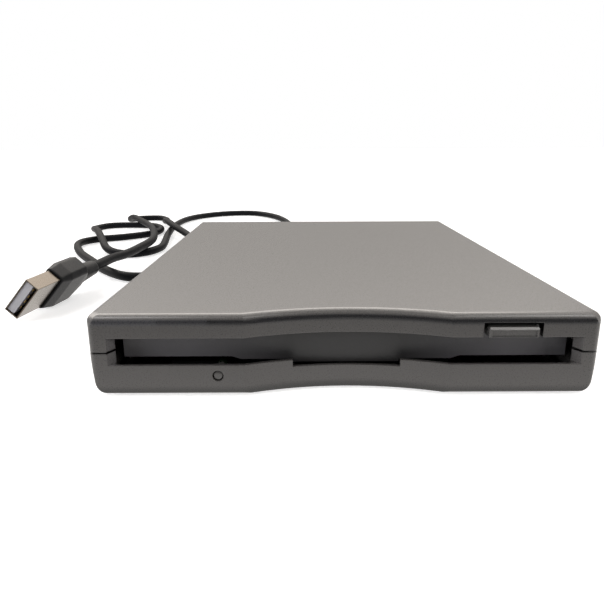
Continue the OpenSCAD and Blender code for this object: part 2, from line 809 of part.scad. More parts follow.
module lower_head() {
    color("dimgray")
        block(-2.5, 2.5, head_y, head_y + head_len, tongue_z + tongue_t, deck_z + 3.9);
}

// Places what belongs to the lifted upper arm
module lifted() {
    translate([0, arm_y, arm_z]) rotate([-arm_lift, 0, 0]) translate([0, -arm_y, -arm_z])
        children();
}

module upper_head_arm() {
    color("silver") lifted() difference() {
        union() {
            rod_x(arm_y, arm_z, -tower_x + 1.8, tower_x - 1.8, 1.1);
            block(-4, 4, head_y - 0.5, arm_y - 0.5, arm_z - 0.55, arm_z + 0.25);
        }
        rod_x(arm_y, arm_z, -tower_x, tower_x, 0.6 + running_gap);
    }
}

module upper_head() {
    color("dimgray") lifted()
        block(-2.5, 2.5, head_y, head_y + head_len, deck_z + 4.3, arm_z - 0.55);
}

module arm_pin() {
    color("gainsboro") rod_x(arm_y, arm_z, -tower_x, tower_x, 0.6);
}

// Leaf spring over the arm, held on the tower's rear edge
module arm_spring() {
    color("gold") {
        block(-2, 2, tower_y1 - 1.3, tower_y1 - 0.4, arm_z - 1.4, arm_z + 1.55);
        block(-2, 2, arm_y - 1.2, tower_y1 - 0.4, arm_z + 1.3, arm_z + 1.55);
    }
}

// ---------------------------------------------------------------- shutter lever

module shutter_lever() {
    tip = [lever_x + lever_len * cos(lever_rest), lever_y + lever_len * sin(lever_rest)];
    color("silver") difference() {
        union() {
            post(lever_x, lever_y, lever_z, lever_z + lever_t, 3);
            translate([lever_x, lever_y, lever_z]) rotate([0, 0, lever_rest])
                translate([0, -1.5, 0]) cube([lever_len, 3, lever_t]);
            post(tip[0], tip[1], lever_z - 0.5, lever_z + lever_t, 1.5);
        }
        post(lever_x, lever_y, lever_z - 1, lever_z + lever_t + 1, 1.5 + running_gap);
    }
}

module lever_post() {
    color("gainsboro") {
        post(lever_x, lever_y, deck_z, lever_z + lever_t + 0.1, 1.5);
        post(lever_x, lever_y, deck_z, lever_z - 0.1, 2.2);
        post(lever_x, lever_y, lever_z + lever_t + 0.1, lever_z + lever_t + 0.6, 2.3);
    }
}

module lever_spring() {
    turns = coil(2.6, 0.5, 3, 12);
    wire = concat([[2.6, -4, 0]], turns, [[2.6, 4, 1.5]]);
    color("silver") translate([lever_x, lever_y, lever_z - 2.2]) swept(wire, 0.18, 6);
}

// ---------------------------------------------------------------- boards and sensors

module front_board() {
    color("darkgreen") difference() {
        block(-37.5, 40, frame_y0 + 0.5, frame_y0 + 14, deck_z, deck_z + 0.6);
        block(24, 50, frame_y0 - 1, frame_y0 + 6, deck_z - 1, deck_z + 1);
    }
}

// Case of one switch, with the bore of its plunger
module switch_case(x) {
    z0 = deck_z + 0.6;
    difference() {
        block(x - 2, x + 2, switch_y - 2.5, switch_y + 2.5, z0, z0 + switch_h);
        post(x, switch_y, z0 + 0.2, z0 + switch_h + 1, plunger_r + running_gap);
    }
}

switch_x = [-29, -35, 37];

module sensor_switches() {
    color("black") for (x = switch_x) switch_case(x);
}

module plunger(x) {
    z0 = deck_z + 0.6 + switch_h - 0.35;
    color("white") post(x, switch_y, z0, z0 + plunger_len - 0.4, plunger_r);
}

module insert_plunger() { plunger(switch_x[0]); }
module protect_plunger() { plunger(switch_x[1]); }
module density_plunger() { plunger(switch_x[2]); }

module indicator_diode() {
    y0 = frame_y0 - 2.8;
    color("limegreen") {
        rod_y(lens_x, base_z + lens_h, y0, frame_y0 - 0.2, 1);
        block(lens_x - 0.9, lens_x + 0.9, frame_y0 - 0.9, frame_y0 + 2, deck_z + 0.6, deck_z + 1);
    }
}

module track_sensor() {
    color("black") difference() {
        block(rod_x - 9, rod_x - 4.8, tower_y0 + 2, tower_y0 + 7, deck_z, deck_z + 3);
        block(rod_x - 7.2, rod_x - 4, tower_y0 + 1, tower_y0 + 8, deck_z + 1.1, deck_z + 2.3);
    }
}

module main_board() {
    color("darkgreen") difference() {
        union() {
            block(-46, -22, cage_y1 + 2, frame_y1 - 1.5, main_z, main_z + board_t);
            for (p = [[-44, cage_y1 + 4], [-24, cage_y1 + 4], [-44, frame_y1 - 3], [-24, frame_y1 - 3]])
                post(p[0], p[1], deck_z, main_z + eps, 1.2);
        }
        post(lever_x, lever_y, main_z - 1, main_z + 2, 2.8);
    }
}

module main_board_chips() {
    z0 = main_z + board_t;
    color("black") {
        block(-36, -27, cage_y1 + 8, cage_y1 + 17, z0, z0 + 1.2);
        block(-44, -39, cage_y1 + 16, cage_y1 + 20, z0, z0 + 1);
        block(-40.5, -25.5, frame_y1 - 5.5, frame_y1 - 2.2, z0, z0 + 1.5);
    }
}

module adapter_board() {
    y_mid = (adapter_y0 + adapter_y1) / 2;
    color("darkgreen") difference() {
        block(-41, 31, adapter_y0, adapter_y1, adapter_z, adapter_z + board_t);
        for (x = [lead_x - 23, lead_x + 41]) post(x, y_mid, adapter_z - 1, adapter_z + 2, 1);
    }
}

module adapter_chips() {
    z0 = adapter_z + board_t;
    color("black") {
        block(2, 9, adapter_y0 + 0.6, adapter_y0 + 6.4, z0, z0 + 1.2);
        block(12, 17, adapter_y0 + 1, adapter_y0 + 3.5, z0, z0 + 1.6);
        block(-34.5, -22.5, adapter_y0 + 1.2, adapter_y0 + 4, z0, z0 + 1.5);
    }
}

// Ribbon from the main board, through the frame's rear wall, to the adapter board
module flat_cable() {
    z0 = main_z + board_t + 0.8;
    z1 = adapter_z + board_t + 0.7;
    y0 = frame_y1 - 2.2;
    y1 = adapter_y0 + 1.2;
    color("white") translate([-34, 0, 0]) rotate([90, 0, 90]) linear_extrude(11)
        polygon([[y0, z0], [y0 + 0.6, z0], [y1 - 0.6, z1], [y1, z1],
                 [y1, z1 + 0.25], [y1 - 0.7, z1 + 0.25], [y0 + 0.5, z0 + 0.25], [y0, z0 + 0.25]]);
}

module lead_header() {
    z0 = adapter_z + board_t;
    color("white")
        block(lead_x - 4, lead_x + 4, adapter_y0 + 0.3, adapter_y0 + 4.2, z0, z0 + 3.6);
}

// ---------------------------------------------------------------- lead

module strain_relief() {
    inner_y = adapter_y0 + 4.2;
    color("black") {
        rod_y(lead_x, lead_z, inner_y, inner_rear_y - 1.2 + eps, lead_r);
        rod_y(lead_x, lead_z, inner_rear_y - 1.2, inner_rear_y, relief_r + 0.9);
        rod_y(lead_x, lead_z, inner_rear_y - eps, rear_y + eps, relief_r);
        rod_y(lead_x, lead_z, rear_y, rear_y + 1.2, relief_r + 0.7);
        translate([lead_x, rear_y + 1.2 - eps, lead_z]) rotate([-90, 0, 0])
            cylinder(r1 = relief_r, r2 = lead_r + 0.45, h = relief_len - 1.2 + eps);
    }
}

// Route of the lead over the table, from the strain relief to the plug's tail
lead_route = [
    [lead_x, exit_y, lead_z], [lead_x, exit_y + lead_d, lead_z],
    [lead_x, exit_y + 2 * lead_d, 9.6], [-14, 116, 5], [-14, 140, low],
    [-16, 176, low], [-25, 211, low], [-41, 233, low], [-60, 233, low],
    [-75, 221, low], [-84, 202, low], [-86, 174, low], [-83, 140, low],
    [-78, 108, low], [-77, 94, low], [-81, 83, low], [-90, 79, low],
    [-100, 87, 3], [-109, 106, 5.4], [-116, 122, over], [-124, 141, 4.6],
    [-131, 160, low], [-126, 172, low], [-112, 175, low], [-98, 170, low],
    [-91, 157, low], [-92, 141, low], [-104, 128, low], [-117, 120, low],
    [-121, 107, low], [-112, 84, low], [-98, 61, low], [-86, 43, low],
    [-74, 32, low], [-62, 35, low], [-57, 50, low], [-59, 88, low],
    [-66, 116, 3.6], [-80, 142, over], [-89, 164, over], [-95, 185, 3.2],
    [-97, 199, low], [-104, 209, low], [-115, 208, low], [-120, 196, 3],
    [-114, 182, 6], [-106, 168, over], [-91, 136, over], [-81, 98, over],
    [-81, 72, over], [-82.5, 56, 6.2], [-84, 44, 6.9],
    tail_end + lead_d * plug_dir, tail_end];

// Points between the route's own, on a curve that passes through all of them
function bend(a, b, c, d, t) =
    0.5 * ((2 * b) + (c - a) * t + (2 * a - 5 * b + 4 * c - d) * t * t
           + (3 * b - a - 3 * c + d) * t * t * t);
function smooth(p, parts) = [
    for (i = [0 : len(p) - 2], j = [0 : parts - 1])
        bend(p[max(i - 1, 0)], p[i], p[i + 1], p[min(i + 2, len(p) - 1)], j / parts),
    p[len(p) - 1]];

module data_lead() {
    color("black") swept(smooth(lead_route, 2), lead_r, 10);
}

// ---------------------------------------------------------------- plug

// Places what belongs to the plug: X across it, Y from its tip to the lead, Z through it
module at_plug() {
    translate(plug_at) rotate(plug_turn) children();
}

// Chamfered bar along Y
module bar(w, h, c, y0, y1) {
    translate([0, y1, 0]) rotate([90, 0, 0]) linear_extrude(y1 - y0)
        polygon([[-w / 2 + c, -h / 2], [w / 2 - c, -h / 2], [w / 2, -h / 2 + c],
                 [w / 2, h / 2 - c], [w / 2 - c, h / 2], [-w / 2 + c, h / 2],
                 [-w / 2, h / 2 - c], [-w / 2, -h / 2 + c]]);
}

module plug_mould() {
    y1 = plug_len + mould_len;
    color("dimgray") at_plug() difference() {
        union() {
            // Flare behind the shell, straight body, and shoulder towards the tail
            hull() {
                bar(plug_w + 1.2, plug_h + 1.4, 0.8, plug_len, plug_len + 0.2);
                bar(mould_w, mould_h, 1.5, plug_len + 5, plug_len + 5.2);
            }
            bar(mould_w, mould_h, 1.5, plug_len + 5, y1 - 5);
            hull() {
                bar(mould_w, mould_h, 1.5, y1 - 5.2, y1 - 5);
                bar(8, 6.8, 2, y1 - 0.2, y1);
            }
            translate([0, y1 - eps, 0]) rotate([-90, 0, 0])
                cylinder(r1 = 3.4, r2 = tail_r, h = tail_len - 0.2);
        }
        // Seat of the shell's rear end
        block(-plug_w / 2, plug_w / 2, plug_len - 1, plug_len + 4, -plug_h / 2, plug_h / 2);
        // Entry of the lead
        rod_y(0, 0, y1 + tail_len - 1, y1 + tail_len, lead_r);
    }
}

module plug_shell() {
    color("silver") at_plug() difference() {
        block(-plug_w / 2, plug_w / 2, 0, plug_len + 4, -plug_h / 2, plug_h / 2);
        block(-plug_w / 2 + 0.3, plug_w / 2 - 0.3, -1, plug_len + 3.7, -plug_h / 2 + 0.3,
              plug_h / 2 - 0.3);
        // Spring windows in the broad face over the tongue
        for (x = [-2.6, 2.6])
            block(x - 1.1, x + 1.1, plug_len - 7.5, plug_len - 5.2, 0, plug_h);
    }
}

module plug_insert() {
    color("white") at_plug()
        block(-plug_w / 2 + 0.4, plug_w / 2 - 0.4, 0.5, plug_len + 3.6, tongue_low, plug_h / 2 - 0.3);
}

module plug_contacts() {
    color("gold") at_plug() for (x = [-3.5, -1, 1, 3.5])
        block(x - 0.5, x + 0.5, 2, plug_len, tongue_low - 0.15, tongue_low);
}

upper_case();
lower_case();
slot_flap();
flap_spring();
eject_button();
indicator_lens();
rubber_feet();
case_screws();
frame_screws();
strain_relief();
data_lead();
plug_mould();
plug_shell();
plug_insert();
plug_contacts();
mechanism_frame();
mechanism_cover();
disk_cage();
slide_plate();
slide_springs();
spindle_rotor();
spindle_shaft();
drive_pin();
spindle_bearing();
stator_coils();
stepper_motor();
lead_screw();
screw_bracket();
guide_rod();
rod_bracket();
head_carriage();
lower_head();
upper_head_arm();
upper_head();
arm_pin();
arm_spring();
shutter_lever();
lever_post();
lever_spring();
front_board();
sensor_switches();
insert_plunger();
protect_plunger();
density_plunger();
indicator_diode();
track_sensor();
main_board();
main_board_chips();
adapter_board();
adapter_chips();
flat_cable();
lead_header();
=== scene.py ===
import math

import bmesh
import bpy
import numpy as np
from mathutils import Matrix, Vector


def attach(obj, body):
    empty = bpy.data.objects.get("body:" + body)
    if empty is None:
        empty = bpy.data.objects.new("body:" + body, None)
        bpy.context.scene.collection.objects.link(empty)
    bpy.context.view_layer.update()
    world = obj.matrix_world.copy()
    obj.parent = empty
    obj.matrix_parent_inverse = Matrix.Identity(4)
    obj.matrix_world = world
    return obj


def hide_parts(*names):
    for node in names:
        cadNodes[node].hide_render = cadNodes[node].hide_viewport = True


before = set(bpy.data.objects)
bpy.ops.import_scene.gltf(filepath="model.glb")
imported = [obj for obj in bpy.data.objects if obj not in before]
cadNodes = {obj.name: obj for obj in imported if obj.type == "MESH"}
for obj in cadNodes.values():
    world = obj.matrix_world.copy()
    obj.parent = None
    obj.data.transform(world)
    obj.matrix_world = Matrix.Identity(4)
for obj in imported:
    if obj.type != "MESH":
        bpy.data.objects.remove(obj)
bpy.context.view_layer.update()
scene = bpy.context.scene
print("frame loaded with", len(cadNodes), "nodes")

# ---- camera: place in metres, angles in degrees, found from the case's corners
cameraValues = {
    "place": (-0.0087, -0.18076, 0.0511),
    "down": 15.56,
    "turn": 0.09,
    "roll": -0.21,
    "lens": 34.16,  # in millimetres, as the sensor is
    "sensor": 36,
    "near": 0.005,
    "far": 20,
}


def makeCamera(v):
    down, turn, roll = (math.radians(v[k]) for k in ("down", "turn", "roll"))
    forward = Vector((math.sin(turn) * math.cos(down), math.cos(turn) * math.cos(down), -math.sin(down)))
    level = Vector((math.cos(turn), -math.sin(turn), 0))
    upright = level.cross(forward)
    right = math.cos(roll) * level + math.sin(roll) * upright
    up = -math.sin(roll) * level + math.cos(roll) * upright
    data = bpy.data.cameras.new("photoCamera")
    data.lens = v["lens"]
    data.sensor_width = v["sensor"]
    data.clip_start = v["near"]
    data.clip_end = v["far"]
    cam = bpy.data.objects.new("photoCamera", data)
    scene.collection.objects.link(cam)
    turned = Matrix((right, up, -forward)).transposed().to_4x4()
    cam.matrix_world = Matrix.Translation(v["place"]) @ turned
    scene.camera = cam


makeCamera(cameraValues)

# ---- shared helpers: every piece that is made here is fixed to the case
def addObject(name, data):
    ob = bpy.data.objects.new(name, data)
    scene.collection.objects.link(ob)
    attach(ob, "case")
    return ob


def meshFrom(name, points, faces, smooth=True):
    mesh = bpy.data.meshes.new(name)
    mesh.from_pydata([tuple(p) for p in points], [], [tuple(f) for f in faces])
    mesh.update()
    mesh.polygons.foreach_set("use_smooth", [smooth] * len(mesh.polygons))
    return mesh


def addSockets(group, ins, outs):
    for way, sockets in (("INPUT", ins), ("OUTPUT", outs)):
        for name, kind in sockets.items():
            group.interface.new_socket(name, in_out=way, socket_type="NodeSocket" + kind)


def mathNode(n, operation, kind="ShaderNodeMath"):
    node = n.new(kind)
    node.operation = operation
    return node


def mapNode(n, fromMin=0.0, fromMax=1.0, toMin=0.0, toMax=1.0):
    node = n.new("ShaderNodeMapRange")
    node.inputs["From Min"].default_value = fromMin
    node.inputs["From Max"].default_value = fromMax
    node.inputs["To Min"].default_value = toMin
    node.inputs["To Max"].default_value = toMax
    return node


def mixColours(n, link, mask, below, above):
    # the colour above covers what is below, a colour or a socket, as the mask goes to one
    mix = n.new("ShaderNodeMix")
    mix.data_type = "RGBA"
    link(mask, mix.inputs[0])
    if isinstance(below, tuple):
        mix.inputs[6].default_value = (*below, 1)
    else:
        link(below, mix.inputs[6])
    mix.inputs[7].default_value = (*above, 1)
    return mix.outputs[2]


# ---- materials: a shared group gives fine grain, softened edges and slow variation
grainValues = {
    "fineDetail": 3.0,
    "slowScale": 38.0,
    "slowDetail": 2.0,
    "edgeSamples": 6,
    "roughSpan": (0.3, 0.7),  # the part of the noise that the roughness follows
}


def makeGrainGroup(v):
    group = bpy.data.node_groups.new("surfaceGrain", "ShaderNodeTree")
    sizes = ("grainSize", "grainDepth", "edgeRadius", "roughLow", "roughHigh")
    addSockets(group, dict.fromkeys(sizes, "Float"), {"Normal": "Vector", "Roughness": "Float", "Tone": "Float"})
    n, link = group.nodes, group.links.new
    ins, outs = n.new("NodeGroupInput"), n.new("NodeGroupOutput")
    place = n.new("ShaderNodeTexCoord")
    scale = mathNode(n, "DIVIDE")  # grain size in metres becomes a noise scale
    scale.inputs[0].default_value = 1.0
    link(ins.outputs["grainSize"], scale.inputs[1])
    fine = n.new("ShaderNodeTexNoise")
    fine.inputs["Detail"].default_value = v["fineDetail"]
    link(place.outputs["Object"], fine.inputs["Vector"])
    link(scale.outputs[0], fine.inputs["Scale"])
    slow = n.new("ShaderNodeTexNoise")
    slow.inputs["Scale"].default_value = v["slowScale"]
    slow.inputs["Detail"].default_value = v["slowDetail"]
    link(place.outputs["Object"], slow.inputs["Vector"])
    edge = n.new("ShaderNodeBevel")
    edge.samples = v["edgeSamples"]
    link(ins.outputs["edgeRadius"], edge.inputs["Radius"])
    bump = n.new("ShaderNodeBump")
    bump.inputs["Strength"].default_value = 1.0
    link(ins.outputs["grainDepth"], bump.inputs["Distance"])
    link(fine.outputs["Fac"], bump.inputs["Height"])
    link(edge.outputs["Normal"], bump.inputs["Normal"])
    rough = mapNode(n, *v["roughSpan"])
    link(fine.outputs["Fac"], rough.inputs["Value"])
    link(ins.outputs["roughLow"], rough.inputs["To Min"])
    link(ins.outputs["roughHigh"], rough.inputs["To Max"])
    link(bump.outputs["Normal"], outs.inputs["Normal"])
    link(rough.outputs["Result"], outs.inputs["Roughness"])
    link(slow.outputs["Fac"], outs.inputs["Tone"])
    return group


grainGroup = makeGrainGroup(grainValues)


def makeBoxGroup():
    # one inside a box given by its middle and half sizes, fading over the edge width; it places painted light
    # and shade on a finish
    group = bpy.data.node_groups.new("boxMask", "ShaderNodeTree")
    addSockets(group, {"middle": "Vector", "half": "Vector", "fade": "Float"}, {"Mask": "Float"})
    n, link = group.nodes, group.links.new
    ins, outs = n.new("NodeGroupInput"), n.new("NodeGroupOutput")
    place = n.new("ShaderNodeTexCoord")
    away, size, past = (mathNode(n, k, "ShaderNodeVectorMath") for k in ("SUBTRACT", "ABSOLUTE", "SUBTRACT"))
    link(place.outputs["Object"], away.inputs[0])
    link(ins.outputs["middle"], away.inputs[1])
    link(away.outputs[0], size.inputs[0])
    link(size.outputs[0], past.inputs[0])
    link(ins.outputs["half"], past.inputs[1])
    parts = n.new("ShaderNodeSeparateXYZ")
    link(past.outputs[0], parts.inputs[0])
    wide, far = mathNode(n, "MAXIMUM"), mathNode(n, "MAXIMUM")
    link(parts.outputs["X"], wide.inputs[0])
    link(parts.outputs["Y"], wide.inputs[1])
    link(wide.outputs[0], far.inputs[0])
    link(parts.outputs["Z"], far.inputs[1])
    fall = mapNode(n, toMin=1.0, toMax=0.0)
    link(far.outputs[0], fall.inputs["Value"])
    link(ins.outputs["fade"], fall.inputs["From Max"])
    link(fall.outputs["Result"], outs.inputs["Mask"])
    return group


boxGroup = makeBoxGroup()


# what a look has where it says nothing else, with sizes in metres
plainLook = {
    "grain": 0.0002,
    "depth": 0.00001,  # of the grain
    "edge": 0.0002,  # the radius that edges seem to have
    "shift": 0.06,  # how far the colour drifts to both sides
    "paintedLightShade": (),
    "metal": 0.0,
    "specular": 0.5,
    "coat": 0.0,
    "clear": 0.0,
}


def makeMaterial(name, look):
    look = {**plainLook, **look}
    mat = bpy.data.materials.new(name)
    mat.use_nodes = True
    n, link = mat.node_tree.nodes, mat.node_tree.links.new
    shader = n["Principled BSDF"]
    grain = n.new("ShaderNodeGroup")
    grain.node_tree = grainGroup
    grain.inputs["grainSize"].default_value = look["grain"]
    grain.inputs["grainDepth"].default_value = look["depth"]
    grain.inputs["edgeRadius"].default_value = look["edge"]
    grain.inputs["roughLow"].default_value, grain.inputs["roughHigh"].default_value = look["rough"]
    darker = tuple(c * (1 - look["shift"]) for c in look["colour"])
    lighter = tuple(min(1, c * (1 + look["shift"])) for c in look["colour"])
    colour = mixColours(n, link, grain.outputs["Tone"], darker, lighter)
    # each box paints light or shade into the base colour
    for middle, half, fade, shade in look["paintedLightShade"]:
        box = n.new("ShaderNodeGroup")
        box.node_tree = boxGroup
        box.inputs["middle"].default_value = [k / 1000 for k in middle]
        box.inputs["half"].default_value = [k / 1000 for k in half]
        box.inputs["fade"].default_value = fade / 1000
        colour = mixColours(n, link, box.outputs["Mask"], colour, shade)
    link(colour, shader.inputs["Base Color"])
    link(grain.outputs["Roughness"], shader.inputs["Roughness"])
    link(grain.outputs["Normal"], shader.inputs["Normal"])
    shader.inputs["Metallic"].default_value = look["metal"]
    shader.inputs["IOR"].default_value = 1.5
    shader.inputs["Specular IOR Level"].default_value = look["specular"]
    shader.inputs["Coat Weight"].default_value = look["coat"]
    shader.inputs["Coat Roughness"].default_value = 0.1
    shader.inputs["Transmission Weight"].default_value = look["clear"]
    return mat


# painted light and shade: each box in millimetres has its middle, its half sizes, the width it fades over, and
# the colour painted inside it
deepShade = (0.002, 0.002, 0.002)
# painted shadow along the bottom of the front, where the case meets the floor
paintedLowerShadow = ((0, -70, 0.8), (60, 8, 0.6), 1.2, deepShade)
# painted shade in the gap between the two halves
paintedPartingShade = ((0, 0, 9.8), (60, 80, 0.2), 0.15, deepShade)
# painted light on the walls at the ends of the slot, lighter than the paint
paintedSlotEndLight = [
    ((48.3, -69.6, 10.1), (1.5, 1.3, 3.2), 0.1, (0.075, 0.072, 0.071)),
    ((-48.3, -69.6, 10.1), (1.5, 1.3, 3.2), 0.1, (0.075, 0.073, 0.074)),
]
# painted shade on the walls of the opening around the eject button
paintedOpeningShade = ((34.2, -68.9, 13.2), (6.9, 2, 2.6), 0.1, (0.001, 0.001, 0.001))
# painted dark reflection just below the rounded top front edge, weaker towards the left end
paintedEdgeReflection = [
    ((16, -70, 16.3), (44, 6, 0.4), 0.5, (0.01, 0.01, 0.011)),
    ((-33, -70, 16.3), (5, 6, 0.4), 0.5, (0.019, 0.019, 0.021)),
    ((-49, -70, 16.3), (11, 6, 0.4), 0.5, (0.028, 0.028, 0.031)),
]
# painted shade over the middle of the flap
paintedFlapShade = ((1, -65, 10), (12, 9, 9), 22, (0.012, 0.012, 0.0125))
# painted shade in a thin line under the button's rim
paintedRimShade = ((34.2, -71, 13.35), (4.5, 3, 0.1), 0.12, deepShade)
caseFinish = {
    "colour": (0.032, 0.0305, 0.0295), "rough": (0.25, 0.34), "grain": 0.00022, "depth": 0.000004,
    "edge": 0.0003, "shift": 0.05, "specular": 0.6,
}
looks = {
    "casePaint": {**caseFinish, "paintedLightShade": [paintedLowerShadow, *paintedSlotEndLight, paintedPartingShade]},
    "upperPaint": {**caseFinish, "paintedLightShade": [paintedOpeningShade, *paintedEdgeReflection, *paintedSlotEndLight, paintedPartingShade]},
    "flapPlastic": {
        "colour": (0.07, 0.069, 0.074), "rough": (0.42, 0.52), "edge": 0.0001, "specular": 0.5,
        "paintedLightShade": [paintedFlapShade],
    },
    "buttonPaint": {
        "colour": (0.038, 0.037, 0.036), "rough": (0.25, 0.33), "edge": 0.0002, "specular": 0.6,
        "paintedLightShade": [paintedRimShade],
    },
    "lensPlastic": {"colour": (0.038, 0.037, 0.036), "rough": (0.15, 0.22), "edge": 0.0001},
    "footRubber": {"colour": (0.02, 0.02, 0.02), "rough": (0.75, 0.9), "grain": 0.0004, "depth": 0.00003},
    "leadJacket": {
        "colour": (0.0055, 0.006, 0.007), "rough": (0.5, 0.62), "grain": 0.0006, "depth": 0.000012,
        "shift": 0.15, "specular": 0.05,
    },
    "mouldPlastic": {
        "colour": (0.0095, 0.01, 0.011), "rough": (0.42, 0.52), "grain": 0.0005, "edge": 0.0011,
        "specular": 0.1,
    },
    "plugNickel": {"colour": (0.1, 0.085, 0.068), "rough": (0.24, 0.36), "metal": 1.0, "edge": 0.0003},
    "tonguePlastic": {"colour": (0.3, 0.3, 0.32), "rough": (0.4, 0.5), "edge": 0.0002, "specular": 0.2},
    "goldPlate": {"colour": (0.8, 0.56, 0.22), "rough": (0.2, 0.3), "metal": 1.0, "edge": 0.0001},
    "zincSheet": {"colour": (0.5, 0.5, 0.49), "rough": (0.35, 0.5), "metal": 1.0, "grain": 0.0012},
    "steelSheet": {"colour": (0.58, 0.58, 0.57), "rough": (0.25, 0.38), "metal": 1.0},
    "drawnWire": {"colour": (0.52, 0.52, 0.54), "rough": (0.2, 0.3), "metal": 1.0, "edge": 0.00005},
    "groundSteel": {"colour": (0.62, 0.62, 0.62), "rough": (0.12, 0.2), "metal": 1.0},
    "bronze": {"colour": (0.5, 0.33, 0.14), "rough": (0.3, 0.45), "metal": 1.0},
    "copperWire": {
        "colour": (0.55, 0.2, 0.08), "rough": (0.25, 0.4), "metal": 1.0, "grain": 0.0003, "depth": 0.00005,
    },
    "ivoryPlastic": {"colour": (0.62, 0.58, 0.5), "rough": (0.4, 0.5)},
    "darkCeramic": {"colour": (0.03, 0.03, 0.033), "rough": (0.08, 0.15)},
    "boardGreen": {"colour": (0.004, 0.022, 0.01), "rough": (0.3, 0.4), "coat": 0.3, "grain": 0.001},
    # the front board is near black, darker than a board's own colour, so that it stands in for the shade inside
    # the slot
    "boardBlack": {"colour": (0.0025, 0.003, 0.003), "rough": (0.5, 0.6), "specular": 0.2},
    "blackPlastic": {"colour": (0.02, 0.02, 0.02), "rough": (0.45, 0.6)},
    "whitePlastic": {"colour": (0.72, 0.7, 0.66), "rough": (0.4, 0.5)},
    # the diode is near black, darker than its own green, so that it stands in for the shade seen through the
    # slot
    "diodeGreen": {"colour": (0.002, 0.005, 0.0025), "rough": (0.1, 0.2), "clear": 0.1, "specular": 0.1},
}
materials = {name: makeMaterial(name, look) for name, look in looks.items()}

finishOf = {
    "casePaint": ("lower_case",),
    "upperPaint": ("upper_case",),
    "flapPlastic": ("slot_flap",),
    "buttonPaint": ("eject_button",),
    "lensPlastic": ("indicator_lens",),
    "footRubber": ("rubber_feet",),
    "zincSheet": (
        "case_screws", "frame_screws", "mechanism_frame", "mechanism_cover", "screw_bracket", "rod_bracket",
    ),
    "leadJacket": ("strain_relief", "data_lead"),
    "mouldPlastic": ("plug_mould",),
    "plugNickel": ("plug_shell",),
    "tonguePlastic": ("plug_insert",),
    "goldPlate": ("plug_contacts", "arm_spring"),
    "steelSheet": (
        "disk_cage", "slide_plate", "upper_head_arm", "shutter_lever", "spindle_rotor", "stepper_motor",
    ),
    "drawnWire": ("flap_spring", "slide_springs", "lever_spring"),
    "groundSteel": ("spindle_shaft", "lead_screw", "guide_rod", "arm_pin", "lever_post"),
    "bronze": ("spindle_bearing", "drive_pin"),
    "copperWire": ("stator_coils",),
    "ivoryPlastic": ("head_carriage",),
    "darkCeramic": ("lower_head", "upper_head"),
    "boardGreen": ("main_board", "adapter_board"),
    "boardBlack": ("front_board",),
    "blackPlastic": ("sensor_switches", "track_sensor", "main_board_chips", "adapter_chips"),
    "whitePlastic": ("insert_plunger", "protect_plunger", "density_plunger", "lead_header", "flat_cable"),
    "diodeGreen": ("indicator_diode",),
}
for finish, names in finishOf.items():
    for name in names:
        data = cadNodes[name].data
        data.materials.clear()
        data.materials.append(materials[finish])
print("materials made:", len(materials))

# ---- softened edges of moulded pieces: widths in millimetres, the least bend of an edge in degrees
bevelValues = {
    "widths": {"eject_button": 0.1, "plug_mould": 0.7, "plug_shell": 0.25, "plug_insert": 0.15},
    "segments": 3,
    "bend": 28,
}
for name, width in bevelValues["widths"].items():
    bevel = cadNodes[name].modifiers.new("softEdge", "BEVEL")
    bevel.width = width / 1000
    bevel.segments = bevelValues["segments"]
    bevel.limit_method = "ANGLE"
    bevel.angle_limit = math.radians(bevelValues["bend"])
    bevel.harden_normals = False
print("edges softened:", len(bevelValues["widths"]))

# ---- data lead: the route repeats the one in the CAD source, in millimetres
leadValues = {
    "radius": 1.8,
    "low": 2.1,  # height of the lead's middle where it lies on the table
    "over": 6.0,  # and where it passes over itself
    "exit": (-14, 87.05, 9.8),
    "plug": (-90.2, -19.5, 7.3),
    "plugTurn": 6.6,  # degrees
    "plugLength": 12.6 + 20 + 12,
    "stepsBetween": 12,
    "roundness": 5,
}


def leadRoute(v):
    low, over, d = v["low"], v["over"], 2 * v["radius"]
    turn = math.radians(v["plugTurn"])
    away = np.array((math.sin(turn), math.cos(turn), 0))
    tail = np.array(v["plug"]) + v["plugLength"] * away
    x, y, z = v["exit"]
    return np.array([
        (x, y, z), (x, y + d, z), (x, y + 2 * d, 9.6), (-14, 116, 5), (-14, 140, low),
        (-16, 176, low), (-25, 211, low), (-41, 233, low), (-60, 233, low),
        (-75, 221, low), (-84, 202, low), (-86, 174, low), (-83, 140, low),
        (-78, 108, low), (-77, 94, low), (-81, 83, low), (-90, 79, low),
        (-100, 87, 3), (-109, 106, 5.4), (-116, 122, over), (-124, 141, 4.6),
        (-131, 160, low), (-126, 172, low), (-112, 175, low), (-98, 170, low),
        (-91, 157, low), (-92, 141, low), (-104, 128, low), (-117, 120, low),
        (-121, 107, low), (-112, 84, low), (-98, 61, low), (-86, 43, low),
        (-74, 32, low), (-62, 35, low), (-57, 50, low), (-59, 88, low),
        (-66, 116, 3.6), (-80, 142, over), (-89, 164, over), (-95, 185, 3.2),
        (-97, 199, low), (-104, 209, low), (-115, 208, low), (-120, 196, 3),
        (-114, 182, 6), (-106, 168, over), (-91, 136, over), (-81, 98, over),
        (-81, 72, over), (-82.5, 56, 6.2), (-84, 44, 6.9),
        tuple(tail + d * away), tuple(tail),
    ])


def smoothRoute(points, steps):
    # a curve through all the points: each span uses its neighbours on both sides
    padded = np.vstack([points[:1], points, points[-1:]])
    t = np.linspace(0, 1, steps, endpoint=False)[:, None]
    spans = []
    for i in range(len(points) - 1):
        a, b, c, d = padded[i : i + 4]
        bend = 2 * a - 5 * b + 4 * c - d
        twist = 3 * b - a - 3 * c + d
        spans.append((2 * b + (c - a) * t + bend * t**2 + twist * t**3) / 2)
    return np.vstack(spans + [points[-1:]])


